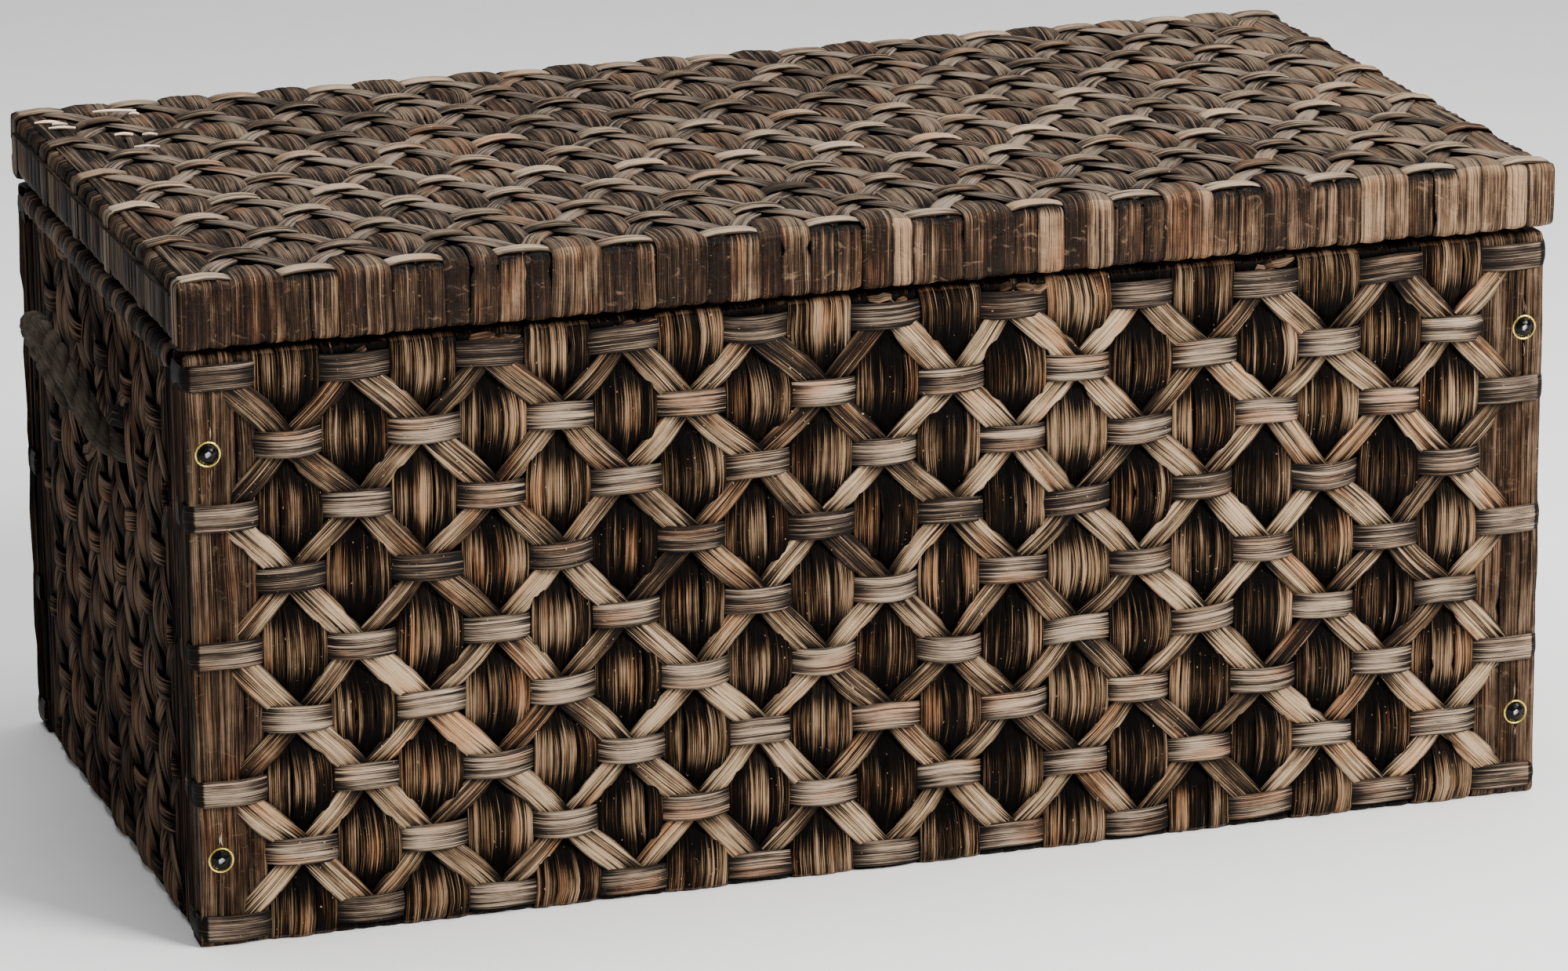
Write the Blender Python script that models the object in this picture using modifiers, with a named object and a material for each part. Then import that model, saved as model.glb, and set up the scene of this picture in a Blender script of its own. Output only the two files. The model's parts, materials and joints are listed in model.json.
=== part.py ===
"""Woven storage trunk: four bolted wall panels, a floor board, a hinged lid and two rope handles.

Metres, +Z up. The origin is the middle of the footprint, on the floor; the front wall faces -Y.
"""

import math

import bmesh
import bpy
from mathutils import Matrix, Vector

# Driving dimensions ---------------------------------------------------------------------------
BODY_WIDTH = 0.838
BODY_DEPTH = 0.441
BODY_HEIGHT = 0.354
LID_WIDTH = 0.844
LID_DEPTH = 0.453
LID_HEIGHT = 0.038
LID_GAP = 0.006  # between the walls' top edge and the lid

FIT = 0.0003  # gap kept between pieces that touch
RAIL = 0.022  # width of the walls' frame bars
WALL = 0.024  # thickness of the front and back walls
END_WALL = 0.022  # thickness of the two end walls
END_INSET = 0.002  # the end walls stand this far inside the front and back walls' ends
WEAVE = 0.010  # thickness of the woven sheets
EDGE = 0.002  # rounding of the bars' edges

LID_RAIL = 0.024
CROSS_RAIL_WIDTH = 0.020
CROSS_RAIL_HEIGHT = 0.014
CROSS_RAIL_X = 0.140

FLOOR_BOARD = 0.005
FLOOR_Z = 0.0163
LEDGE_WIDTH = 0.015
LEDGE_Z = 0.004

ROPE_R = 0.008
ROPE_Z = 0.252  # height of the holes that a rope handle passes through
ROPE_HALF_SPACING = 0.050
ROPE_HOLE_R = 0.0092
ROPE_STRAIGHT = 0.025  # straight part of the handle before its half circle
ROPE_TILT = math.radians(66)  # the handle's plane above the horizontal
HANDLE_RAIL_HEIGHT = 0.044
KNOT_LENGTH = 0.036
KNOT_SWELL = 0.010
TAIL = 0.015

BOLT_X = 0.407
BOLT_HEIGHTS = {"lower": 0.053, "upper": 0.297}
BOLT_R = 0.003
BOLT_HEAD_R = 0.0062
BOLT_HEAD = 0.0036
BOLT_SOCKET_R = 0.0022
BOLT_SOCKET_DEPTH = 0.0019
BOLT_LENGTH = 0.038
CUP_R = 0.0078
CUP_HEIGHT = 0.0016

HINGE_X = 0.270
HINGE_WIDTH = 0.060
HINGE_LEAF = 0.0014
KNUCKLE_R = 0.0028
KNUCKLES = 5
KNUCKLE_GAP = 0.0005
PIN_R = 0.0012
PIN_BORE_R = 0.0015
BODY_SCREW_OFFSETS = (-0.020, 0.0, 0.020)
LID_SCREW_OFFSETS = (-0.010, 0.010)
SCREW_R = 0.0014
SCREW_HEAD_R = 0.0028
SCREW_HEAD = 0.0010
SCREW_LENGTH = 0.014

BUMPER_R = 0.005
BUMPER_X = 0.380

# Worked out from them -------------------------------------------------------------------------
HALF_W = BODY_WIDTH / 2
HALF_D = BODY_DEPTH / 2
END_X = HALF_W - END_INSET  # outer face of an end wall
END_Y = HALF_D - WALL - FIT  # an end wall's front and back edges
LID_Z = BODY_HEIGHT + LID_GAP
TOP_Z = LID_Z + LID_HEIGHT
HINGE_Z = BODY_HEIGHT + LID_GAP / 2
HINGE_Y = HALF_D + 0.0035
LEAF_LOW_Y = HALF_D - 0.0205
LEAF_HIGH_Y = HINGE_Y - KNUCKLE_R - 0.0005
ROPE_PIVOT_X = END_X + ROPE_R + 0.0015
STUB_X = ROPE_PIVOT_X - ROPE_R - 0.0008

SIDES = {"left": -1, "right": 1}
WALLS = {"front": -1, "back": 1}

MATERIALS = {
    "leaf": ((0.150, 0.095, 0.055), 0.60, 0.0),
    "wood": ((0.330, 0.220, 0.130), 0.65, 0.0),
    "board": ((0.420, 0.300, 0.190), 0.70, 0.0),
    "rope": ((0.095, 0.080, 0.068), 0.90, 0.0),
    "brass": ((0.780, 0.640, 0.200), 0.30, 1.0),
    "black_steel": ((0.020, 0.020, 0.022), 0.35, 0.8),
    "steel": ((0.560, 0.560, 0.570), 0.35, 1.0),
    "rubber": ((0.040, 0.038, 0.036), 0.80, 0.0),
}


def start_scene():
    """An empty scene with one collection for the parts and one for the cutters."""
    for obj in list(bpy.data.objects):
        bpy.data.objects.remove(obj)
    parts = bpy.data.collections.new("storage_trunk")
    cutters = bpy.data.collections.new("cutters")
    for collection in (parts, cutters):
        bpy.context.scene.collection.children.link(collection)
    return parts, cutters


PARTS, CUTTERS = start_scene()


def material(name):
    found = bpy.data.materials.get(name)
    if found:
        return found
    colour, roughness, metallic = MATERIALS[name]
    made = bpy.data.materials.new(name)
    made.use_nodes = True
    shader = made.node_tree.nodes["Principled BSDF"]
    shader.inputs["Base Color"].default_value = (*colour, 1.0)
    shader.inputs["Roughness"].default_value = roughness
    shader.inputs["Metallic"].default_value = metallic
    made.diffuse_color = (*colour, 1.0)
    return made


def at(x, y, z):
    return Matrix.Translation((x, y, z))


def add(name, data, look, place):
    """Puts a mesh or a curve in the scene at a matrix. Copies of a piece share its data."""
    obj = bpy.data.objects.new(name, data)
    obj.matrix_world = place
    if not data.materials:
        data.materials.append(material(look))
    PARTS.objects.link(obj)
    return obj


def box_mesh(name, size):
    mesh = bpy.data.meshes.new(name)
    shape = bmesh.new()
    bmesh.ops.create_cube(shape, size=1.0)
    bmesh.ops.scale(shape, vec=size, verts=shape.verts)
    shape.to_mesh(mesh)
    shape.free()
    return mesh


def block(name, low, high, look, edge=EDGE):
    """A box from its lowest to its highest corner, with rounded edges."""
    low, high = Vector(low), Vector(high)
    mesh = box_mesh(name, high - low)
    obj = add(name, mesh, look, Matrix.Translation((low + high) / 2))
    if edge:
        bevel = obj.modifiers.new("rounding", "BEVEL")
        bevel.width = edge
        bevel.segments = 2
        bevel.limit_method = "ANGLE"
    return obj


def rod_mesh(name, radius, length, axis, sides=16):
    """A closed cylinder centred on the origin, along X, Y or Z."""
    mesh = bpy.data.meshes.new(name)
    shape = bmesh.new()
    bmesh.ops.create_cone(
        shape, cap_ends=True, segments=sides, radius1=radius, radius2=radius, depth=length
    )
    turn = {"X": Matrix.Rotation(math.pi / 2, 4, "Y"), "Y": Matrix.Rotation(math.pi / 2, 4, "X")}
    bmesh.ops.transform(shape, matrix=turn.get(axis, Matrix()), verts=shape.verts)
    shape.to_mesh(mesh)
    shape.free()
    return mesh


def applied(obj):
    """An object's mesh with its modifiers applied. The object is removed."""
    graph = bpy.context.evaluated_depsgraph_get()
    mesh = bpy.data.meshes.new_from_object(obj.evaluated_get(graph))
    bpy.data.objects.remove(obj)
    mesh.shade_smooth()
    mesh.set_sharp_from_angle(angle=math.radians(35))
    return mesh


def turned_mesh(name, profile, steps=24):
    """The solid of (radius, height) points turned about Z. An outer profile runs from its top down."""
    mesh = bpy.data.meshes.new(name)
    points = [(radius, 0.0, height) for radius, height in profile]
    mesh.from_pydata(points, [(i, i + 1) for i in range(len(points) - 1)], [])
    source = bpy.data.objects.new(name, mesh)
    PARTS.objects.link(source)
    screw = source.modifiers.new("turn", "SCREW")
    screw.axis = "Z"
    screw.steps = screw.render_steps = steps
    screw.use_merge_vertices = True
    screw.merge_threshold = 0.00002
    return applied(source)


def combine(obj, mesh, place, operation):
    """Cuts a mesh from obj, or joins it on, with a hidden helper object."""
    helper = bpy.data.objects.new(f"{obj.name}_helper", mesh)
    helper.matrix_world = place
    helper.hide_render = True
    helper.display_type = "WIRE"
    CUTTERS.objects.link(helper)
    boolean = obj.modifiers.new(operation.lower(), "BOOLEAN")
    boolean.operation = operation
    boolean.solver = "EXACT"
    boolean.object = helper


def drill(obj, place, radius, length, axis, sides=16):
    cutter = rod_mesh("drill", radius, length, axis, sides)
    combine(obj, cutter, Matrix.Translation(place), "DIFFERENCE")


def arc(centre_r, centre_z, radius, start, end, count):
    """Profile points on a circle, with the angles in degrees from +r towards +z."""
    angles = [math.radians(start + (end - start) * i / count) for i in range(count + 1)]
    return [(centre_r + radius * math.cos(a), centre_z + radius * math.sin(a)) for a in angles]


# The walls ------------------------------------------------------------------------------------
def broad_wall(wall, sign):
    """The front or back wall: a frame of four bars round a woven sheet. Returns its top rail."""
    inner, outer = sign * (HALF_D - WALL), sign * HALF_D
    low_y, high_y = min(inner, outer), max(inner, outer)
    sheet_y = sorted((outer, sign * (HALF_D - WEAVE)))
    shoulder = BODY_HEIGHT - RAIL
    block(f"{wall}_bottom_rail", (-HALF_W, low_y, 0), (HALF_W, high_y, RAIL), "wood")
    top = block(
        f"{wall}_top_rail", (-HALF_W, low_y, shoulder), (HALF_W, high_y, BODY_HEIGHT), "wood"
    )
    for side, end in SIDES.items():
        low_x, high_x = sorted((end * HALF_W, end * (HALF_W - RAIL)))
        post = block(
            f"{wall}_{side}_post",
            (low_x, low_y, RAIL + FIT),
            (high_x, high_y, shoulder - FIT),
            "wood",
        )
        for height in BOLT_HEIGHTS.values():
            place = (end * BOLT_X, (low_y + high_y) / 2, height)
            drill(post, place, BOLT_R + FIT, 2 * WALL, "Y")
    inside = RAIL + FIT
    block(
        f"{wall}_weave",
        (-HALF_W + inside, sheet_y[0], inside),
        (HALF_W - inside, sheet_y[1], BODY_HEIGHT - inside),
        "leaf",
        edge=0,
    )
    return top


def end_bar(name, sign, from_face, to_face, low_yz, high_yz, look="wood", edge=EDGE):
    """A bar of an end wall, between two depths behind the wall's outer face."""
    xs = sorted((sign * (END_X - from_face), sign * (END_X - to_face)))
    return block(name, (xs[0], *low_yz), (xs[1], *high_yz), look, edge)


def end_wall(side, sign):
    """An end wall: a frame, a woven sheet, and a rail behind it that the rope handle pulls on."""
    inside_y = END_Y - RAIL
    shoulder = BODY_HEIGHT - RAIL
    end_bar(f"{side}_bottom_rail", sign, 0, END_WALL, (-END_Y, 0), (END_Y, RAIL))
    end_bar(f"{side}_top_rail", sign, 0, END_WALL, (-END_Y, shoulder), (END_Y, BODY_HEIGHT))
    bolt_end = HALF_D - BOLT_LENGTH
    for wall, front in WALLS.items():
        ys = sorted((front * END_Y, front * inside_y))
        low, high = (ys[0], RAIL + FIT), (ys[1], shoulder - FIT)
        post = end_bar(f"{side}_{wall}_end_post", sign, 0, END_WALL, low, high)
        for height in BOLT_HEIGHTS.values():
            length = 2 * (END_Y - bolt_end) + 0.002
            drill(post, (sign * BOLT_X, front * END_Y, height), BOLT_R + FIT, length, "Y")
    low, high = (-inside_y + FIT, RAIL + FIT), (inside_y - FIT, shoulder - FIT)
    sheet = end_bar(f"{side}_weave", sign, 0, WEAVE, low, high, "leaf", edge=0)
    low = (-inside_y + FIT, ROPE_Z - HANDLE_RAIL_HEIGHT / 2)
    high = (inside_y - FIT, ROPE_Z + HANDLE_RAIL_HEIGHT / 2)
    rail = end_bar(f"{side}_handle_rail", sign, WEAVE + FIT, END_WALL, low, high)
    for front in WALLS.values():
        for pierced in (sheet, rail):
            place = (sign * (END_X - END_WALL / 2), front * ROPE_HALF_SPACING, ROPE_Z)
            drill(pierced, place, ROPE_HOLE_R, 2 * END_WALL, "X", sides=24)


def floor():
    """The board that lies on two ledges along the front and back walls."""
    wide = HALF_W - END_INSET - END_WALL - FIT
    deep = HALF_D - WALL - FIT
    top = FLOOR_Z + FLOOR_BOARD
    block("floor_board", (-wide, -deep, FLOOR_Z), (wide, deep, top), "board", edge=0.0008)
    for wall, sign in WALLS.items():
        ys = sorted((sign * deep, sign * (deep - LEDGE_WIDTH)))
        low, high = (-wide, ys[0], LEDGE_Z), (wide, ys[1], FLOOR_Z - FIT)
        block(f"{wall}_floor_ledge", low, high, "wood", edge=0.001)


# Bolts ----------------------------------------------------------------------------------------
def bolt_mesh(washer):
    """A round-headed bolt with a hexagon socket and its seat at height 0, with or without a washer."""
    dome = arc(0, -0.0042, BOLT_HEAD + 0.0042, 90, 37, 5)
    flange = [(CUP_R, CUP_HEIGHT), (CUP_R, 0.0)] if washer else [(BOLT_HEAD_R, 0.0)]
    if washer:
        flange.insert(0, (BOLT_HEAD_R, CUP_HEIGHT))
    shank = [(BOLT_R, 0.0), (BOLT_R, -BOLT_LENGTH), (0.0, -BOLT_LENGTH)]
    body = bpy.data.objects.new("bolt_source", turned_mesh("bolt", dome + flange + shank, 16))
    PARTS.objects.link(body)
    drill(body, (0, 0, BOLT_HEAD), BOLT_SOCKET_R, 2 * BOLT_SOCKET_DEPTH, "Z", sides=6)
    return applied(body)


def cup_mesh():
    """A brass ring round the bolt's head, with a rolled rim."""
    bore = BOLT_HEAD_R + FIT
    rim = arc((bore + CUP_R) / 2, CUP_HEIGHT / 2, (CUP_R - bore) / 2, 180, 0, 4)
    return turned_mesh("cup", [*rim, (CUP_R, 0.0), (bore, 0.0), rim[0]], 20)


def bolts():
    """Front bolts have loose cup washers. Each back bolt carries its washer in one piece."""
    cup = cup_mesh()
    for wall, sign in WALLS.items():
        bolt = bolt_mesh(washer=wall == "back")
        turn = Matrix.Rotation(-sign * math.pi / 2, 4, "X")
        for side, end in SIDES.items():
            for level, height in BOLT_HEIGHTS.items():
                seat = at(end * BOLT_X, sign * (HALF_D + FIT), height) @ turn
                add(f"{wall}_{side}_{level}_bolt", bolt, "black_steel", seat)
                if wall == "front":
                    add(f"{wall}_{side}_{level}_cup_washer", cup, "brass", seat)


# Rope handles ---------------------------------------------------------------------------------
def handle_route():
    """Points down the middle of a handle, as (distance out along its plane, Y, thickness)."""
    closing = [math.radians(a) for a in (80, 60, 40, 20)]
    ball = [(-ROPE_R * math.sin(a), -ROPE_HALF_SPACING, math.cos(a)) for a in closing]
    leg = [(ROPE_STRAIGHT * i / 3, -ROPE_HALF_SPACING, 1.0) for i in range(3)]
    bend = []
    for i in range(11):
        a = -math.pi / 2 * (1 - i / 10)
        out = ROPE_STRAIGHT + ROPE_HALF_SPACING * math.cos(a)
        bend.append((out, ROPE_HALF_SPACING * math.sin(a), 1.0))
    half = ball + leg + bend
    return half + [(out, -y, thickness) for out, y, thickness in reversed(half[:-1])]


def rope_loop(side, sign):
    """The handle outside the wall. Its ends are balls about the line that it swings on."""
    curve = bpy.data.curves.new(f"{side}_rope_loop", "CURVE")
    curve.dimensions = "3D"
    curve.bevel_depth = ROPE_R
    curve.bevel_resolution = 3
    curve.use_fill_caps = True
    route = handle_route()
    spline = curve.splines.new("POLY")
    spline.points.add(len(route) - 1)
    for point, (out, y, thickness) in zip(spline.points, route):
        point.co = (sign * out * math.cos(ROPE_TILT), y, out * math.sin(ROPE_TILT), 1.0)
        point.radius = thickness
    add(f"{side}_rope_loop", curve, "rope", at(sign * ROPE_PIVOT_X, 0, ROPE_Z))


def knot_mesh():
    """A rope's end, with its outer end at height 0: through the wall, a stopper knot, a short tail."""
    knot_start = -(STUB_X - (END_X - END_WALL - FIT))
    knot_end = knot_start - KNOT_LENGTH
    rings = 12
    knot = []
    for i in range(1, rings):
        swell = KNOT_SWELL * abs(math.sin(2 * math.pi * i / rings)) ** 0.6
        knot.append((ROPE_R + swell, knot_start - KNOT_LENGTH * i / rings))
    tail = [(ROPE_R, knot_end), (ROPE_R, knot_end - TAIL), (0.0, knot_end - TAIL)]
    return turned_mesh("knot", [(0.0, 0.0), (ROPE_R, 0.0), (ROPE_R, knot_start), *knot, *tail], 16)


def rope_handle(side, sign):
    rope_loop(side, sign)
    knot = knot_mesh()
    turn = Matrix.Rotation(sign * math.pi / 2, 4, "Y")
    for wall, front in WALLS.items():
        place = at(sign * STUB_X, front * ROPE_HALF_SPACING, ROPE_Z) @ turn
        add(f"{side}_rope_{wall}_knot", knot, "rope", place)


# The lid --------------------------------------------------------------------------------------
def lid():
    """The lid's frame, cross rails, woven top and bumpers. Returns its pieces by name."""
    half_w, half_d = LID_WIDTH / 2, LID_DEPTH / 2
    inside_x, inside_y = half_w - LID_RAIL, half_d - LID_RAIL
    pieces = []
    for wall, sign in WALLS.items():
        ys = sorted((sign * half_d, sign * inside_y))
        low, high = (-half_w, ys[0], LID_Z), (half_w, ys[1], TOP_Z)
        pieces.append(block(f"lid_{wall}_rail", low, high, "wood"))
    cross_top = TOP_Z - WEAVE - FIT
    for side, sign in SIDES.items():
        xs = sorted((sign * half_w, sign * inside_x))
        low, high = (xs[0], -inside_y + FIT, LID_Z), (xs[1], inside_y - FIT, TOP_Z)
        pieces.append(block(f"lid_{side}_rail", low, high, "wood"))
        middle = sign * CROSS_RAIL_X
        low = (middle - CROSS_RAIL_WIDTH / 2, -inside_y + FIT, cross_top - CROSS_RAIL_HEIGHT)
        high = (middle + CROSS_RAIL_WIDTH / 2, inside_y - FIT, cross_top)
        pieces.append(block(f"lid_{side}_cross_rail", low, high, "wood", edge=0.001))
    low = (-inside_x + FIT, -inside_y + FIT, TOP_Z - WEAVE)
    high = (inside_x - FIT, inside_y - FIT, TOP_Z)
    pieces.append(block("lid_weave", low, high, "leaf", edge=0))
    drop = BUMPER_R - (LID_GAP - 3 * FIT)
    dome = [(r, z + drop) for r, z in arc(0, 0, BUMPER_R, -20, -90, 4)]
    bumper = turned_mesh("bumper", [(0.0, 0.0), (BUMPER_R, 0.0), *dome], 16)
    for side, sign in SIDES.items():
        place = at(sign * BUMPER_X, -HALF_D + WALL / 2, LID_Z - FIT)
        pieces.append(add(f"lid_{side}_bumper", bumper, "rubber", place))
    return {piece.name: piece for piece in pieces}


# Hinges ---------------------------------------------------------------------------------------
def screw_mesh():
    """A pan-head screw with its seat at height 0."""
    profile = [
        (0.0, SCREW_HEAD),
        (SCREW_HEAD_R * 0.7, SCREW_HEAD),
        (SCREW_HEAD_R, SCREW_HEAD * 0.4),
        (SCREW_HEAD_R, -HINGE_LEAF / 2),
        (SCREW_R, -HINGE_LEAF / 2),
        (SCREW_R, -SCREW_LENGTH * 0.7),
        (0.0, -SCREW_LENGTH),
    ]
    return turned_mesh("screw", profile, 12)


def hinge_leaf(name, centre_x, low_z, first_knuckle, screws):
    """A hinge's leaf, with every second knuckle and its screws, which hold it as one piece."""
    knuckle = HINGE_WIDTH / KNUCKLES
    length = knuckle - KNUCKLE_GAP
    low = (centre_x - HINGE_WIDTH / 2, LEAF_LOW_Y, low_z)
    high = (centre_x + HINGE_WIDTH / 2, LEAF_HIGH_Y, low_z + HINGE_LEAF)
    leaf = block(name, low, high, "steel", edge=0)
    tab_y = (LEAF_HIGH_Y - 0.001 + HINGE_Y) / 2
    tab = box_mesh("tab", (length, HINGE_Y - LEAF_HIGH_Y + 0.001, HINGE_LEAF))
    for i in range(first_knuckle, KNUCKLES, 2):
        x = centre_x + (i - (KNUCKLES - 1) / 2) * knuckle
        combine(leaf, rod_mesh("knuckle", KNUCKLE_R, length, "X"), at(x, HINGE_Y, HINGE_Z), "UNION")
        combine(leaf, tab, at(x, tab_y, low_z + HINGE_LEAF / 2), "UNION")
    for place in screws:
        combine(leaf, screw_mesh(), place, "UNION")
    drill(leaf, (centre_x, HINGE_Y, HINGE_Z), PIN_BORE_R, 2 * HINGE_WIDTH, "X")
    return leaf


def hinge(side, sign, body_rail, lid_rail):
    """A butt hinge that lies in the gap between the back wall and the lid. Returns its lid leaf."""
    x = sign * HINGE_X
    screw_y = (LEAF_LOW_Y + LEAF_HIGH_Y) / 2
    body_low = BODY_HEIGHT + FIT
    lid_low = LID_Z - FIT - HINGE_LEAF
    body_screws = [at(x + off, screw_y, body_low + HINGE_LEAF) for off in BODY_SCREW_OFFSETS]
    over = Matrix.Rotation(math.pi, 4, "X")
    lid_screws = [at(x + off, screw_y, lid_low) @ over for off in LID_SCREW_OFFSETS]
    hinge_leaf(f"{side}_hinge_body_leaf", x, body_low, 0, body_screws)
    lid_leaf = hinge_leaf(f"{side}_hinge_lid_leaf", x, lid_low, 1, lid_screws)
    for rail, screws in ((body_rail, body_screws), (lid_rail, lid_screws)):
        for place in screws:
            drill(rail, place.translation, SCREW_R + FIT, 2 * SCREW_LENGTH + 0.002, "Z", sides=12)
    pin = rod_mesh("pin", PIN_R, HINGE_WIDTH + 0.001, "X")
    add(f"{side}_hinge_pin", pin, "steel", at(x, HINGE_Y, HINGE_Z))
    return lid_leaf


def hang(pieces):
    """Parents the lid's pieces to an empty on the hinges' line."""
    axis = bpy.data.objects.new("lid_hinge_axis", None)
    axis.location = (0, HINGE_Y, HINGE_Z)
    PARTS.objects.link(axis)
    for piece in pieces:
        piece.parent = axis
        piece.matrix_parent_inverse = Matrix.Translation(axis.location).inverted()


def trunk():
    top_rails = {wall: broad_wall(wall, sign) for wall, sign in WALLS.items()}
    floor()
    bolts()
    lid_pieces = lid()
    back_rails = (top_rails["back"], lid_pieces["lid_back_rail"])
    moving = list(lid_pieces.values())
    for side, sign in SIDES.items():
        end_wall(side, sign)
        rope_handle(side, sign)
        moving.append(hinge(side, sign, *back_rails))
    hang(moving)


trunk()
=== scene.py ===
"""The looks of the woven storage trunk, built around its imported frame."""

import json
import math
from dataclasses import dataclass

import bmesh
import bpy
import numpy as np
from mathutils import Matrix, Vector


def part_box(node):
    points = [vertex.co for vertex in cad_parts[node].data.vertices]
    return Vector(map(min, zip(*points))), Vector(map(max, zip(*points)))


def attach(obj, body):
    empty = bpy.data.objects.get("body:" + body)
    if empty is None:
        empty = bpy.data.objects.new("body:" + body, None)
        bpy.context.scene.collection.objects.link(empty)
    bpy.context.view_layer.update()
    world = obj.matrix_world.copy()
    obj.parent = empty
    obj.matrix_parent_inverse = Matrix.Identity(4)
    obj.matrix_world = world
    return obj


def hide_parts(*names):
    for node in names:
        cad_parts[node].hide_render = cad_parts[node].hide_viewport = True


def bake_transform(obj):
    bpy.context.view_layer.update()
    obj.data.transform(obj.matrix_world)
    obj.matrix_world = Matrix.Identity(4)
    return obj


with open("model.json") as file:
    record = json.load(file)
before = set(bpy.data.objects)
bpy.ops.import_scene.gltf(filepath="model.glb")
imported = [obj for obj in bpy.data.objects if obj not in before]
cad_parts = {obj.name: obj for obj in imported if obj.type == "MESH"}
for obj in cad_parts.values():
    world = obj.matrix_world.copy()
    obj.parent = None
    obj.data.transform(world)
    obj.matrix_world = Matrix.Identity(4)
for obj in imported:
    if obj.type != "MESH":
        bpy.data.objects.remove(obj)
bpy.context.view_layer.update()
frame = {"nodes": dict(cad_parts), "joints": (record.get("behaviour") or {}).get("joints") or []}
RNG = np.random.default_rng(7)

MM = 0.001
STEP = 6.6 * MM  # length of one segment of a leaf strip
TOP_POINTS = 7  # points across a strip's upper side
CROWN = 0.9 * MM  # how far a strip's middle stands above its edges
LAP = 1.03  # width of a strip against the width of its place
BAND_BEND = 3.5 * MM  # radius of a band's bend round a side post
HOLE_NEAR = 20 * MM  # strips across a rope's hole part to this distance from its middle
HOLE_FAR = 46 * MM  # strips this far from a hole's middle stay where they are
ROPE_TILT = math.radians(66)  # slant of a handle's legs above level
ROPE_LEG = 25 * MM  # straight part of a leg, from the joint's axis
ROPE_LAY = 36 * MM  # length of one turn of a rope's strands
ROPE_SIDES = 10  # sides of a strand
SIDES = {"left": -1, "right": 1}
WALLS = {"front": -1, "back": 1}


# The frame's sizes ----------
def corners(node):
    return tuple(np.array(corner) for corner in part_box(node))


FRONT_LOW, FRONT_HIGH = corners("front_top_rail")
END_LOW, END_HIGH = corners("right_top_rail")
LID_LOW, LID_HIGH = corners("lid_front_rail")
BODY_HALF_W = FRONT_HIGH[0]
BODY_HALF_D = -FRONT_LOW[1]
BODY_H = FRONT_HIGH[2]
WALL = FRONT_HIGH[1] - FRONT_LOW[1]
RAIL = FRONT_HIGH[2] - FRONT_LOW[2]
END_X = END_HIGH[0]
END_WALL = END_HIGH[0] - END_LOW[0]
END_HALF_Y = END_HIGH[1]
LID_HALF_W = LID_HIGH[0]
LID_HALF_D = -LID_LOW[1]
LID_BOTTOM = LID_LOW[2]
LID_TOP = LID_HIGH[2]
LID_RAIL = LID_HIGH[1] - LID_LOW[1]
KNOT_LOW, KNOT_HIGH = corners("right_rope_back_knot")
HOLE_Y, HOLE_Z = (KNOT_LOW[1] + KNOT_HIGH[1]) / 2, (KNOT_LOW[2] + KNOT_HIGH[2]) / 2


# Leaf strips ----------
def ease(t):
    return t * t * (3 - 2 * t)


def wobble(length, reach, every=0.03):
    """Smooth random values along a strip, one for each of its points."""
    knots = max(2, int(np.ceil(length[-1] / every)) + 2)
    values = RNG.uniform(-reach, reach, knots)
    at = length / max(length[-1], 1e-6) * (knots - 1)
    low = np.minimum(at.astype(int), knots - 2)
    t = ease(at - low)
    return values[low] * (1 - t) + values[low + 1] * t


def along(path):
    """Distance along a path at each of its points."""
    steps = np.linalg.norm(np.diff(path, axis=0), axis=1)
    return np.concatenate([[0.0], np.cumsum(steps)])


def unit(vectors):
    return vectors / np.maximum(np.linalg.norm(vectors, axis=-1, keepdims=True), 1e-9)


def store(mesh, **columns):
    """Keeps a number or a vector for each point of a mesh, under each given name."""
    for label, parts in columns.items():
        values = np.concatenate(parts).astype(np.float32)
        kind, field = ("FLOAT", "value") if values.ndim == 1 else ("FLOAT_VECTOR", "vector")
        mesh.attributes.new(label, kind, "POINT").data.foreach_set(field, values.ravel())


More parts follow.
